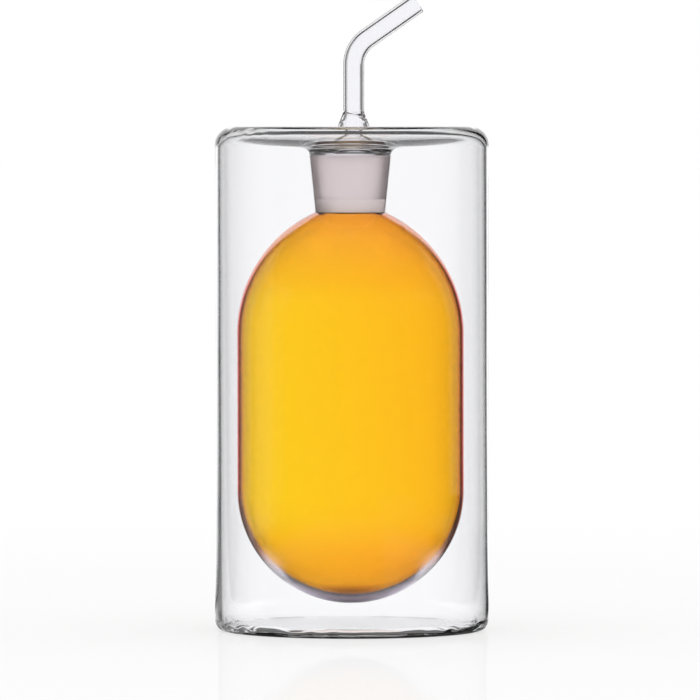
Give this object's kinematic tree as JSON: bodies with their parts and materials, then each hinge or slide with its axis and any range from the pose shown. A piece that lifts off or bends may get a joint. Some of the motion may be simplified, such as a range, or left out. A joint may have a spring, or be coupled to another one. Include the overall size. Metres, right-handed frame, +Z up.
{
  "type": "double-walled oil cruet",
  "caption": "Clear glass cylinder with a hollow amber inner vessel hung from its dished top, closed by a ground glass stopper with a bent pouring tube.",
  "frame": {"origin": "middle of the foot, on the surface the cruet stands on", "axes": "+Z up; +X towards the side the spout leans to; the X-Z plane cuts spout and body in half"},
  "size_m": [0.075, 0.075, 0.174],
  "materials": {
    "clear_glass": "clear, fire-polished",
    "ground_glass": "clear flange, finely ground taper",
    "amber_glass": "clear amber, polished",
    "stopper_glass": "clear, finely ground on its cone"
  },
  "bodies": {
    "root": {"outer_shell": "clear_glass", "neck_socket": "ground_glass", "inner_vessel": "amber_glass", "pouring_stopper": "stopper_glass"}
  },
  "joints": []
}
